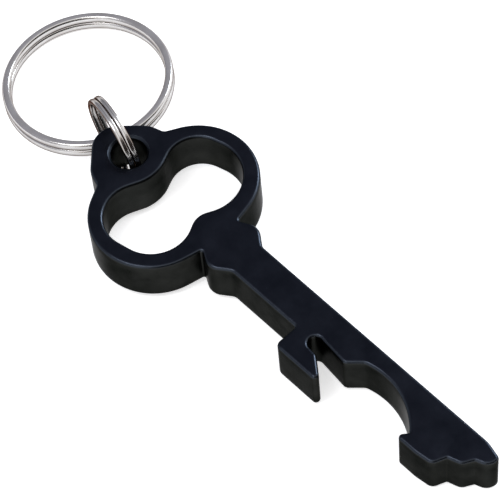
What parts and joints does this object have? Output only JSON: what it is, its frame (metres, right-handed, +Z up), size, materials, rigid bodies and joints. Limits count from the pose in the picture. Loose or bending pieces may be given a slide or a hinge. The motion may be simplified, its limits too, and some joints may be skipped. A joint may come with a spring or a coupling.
{
  "type": "keychain bottle opener",
  "caption": "Key-shaped bottle opener in dark anodised plate, with a cap hook cut into its blade, linked to a large split ring by a small one.",
  "frame": {"origin": "middle of the assembly's footprint, on the table", "axes": "+Z up from the table, +X along the key towards its bit, +Y across the key towards the straight back of its blade"},
  "size_m": [0.098, 0.032, 0.0128],
  "materials": {
    "anodised_key": "black anodised, satin",
    "small_ring_steel": "polished plated spring steel",
    "large_ring_steel": "polished plated spring steel"
  },
  "bodies": {
    "key": {"key_body": "anodised_key"},
    "small_ring": {"small_split_ring": "small_ring_steel"},
    "large_ring": {"large_split_ring": "large_ring_steel"}
  },
  "joints": [
    {"name": "small_ring_turn", "type": "hinge", "parent": "key", "child": "small_ring", "pos_m": [-0.02407, -0.0018, 0.0064], "axis": [0.2248, 0.9732, 0.0476], "range_deg": [0, 90]},
    {"name": "large_ring_swing", "type": "hinge", "parent": "small_ring", "child": "large_ring", "pos_m": [-0.02539, -0.00138, 0.00392], "axis": [0.4111, 0.9114, 0.0179], "range_deg": [0, 65]}
  ]
}
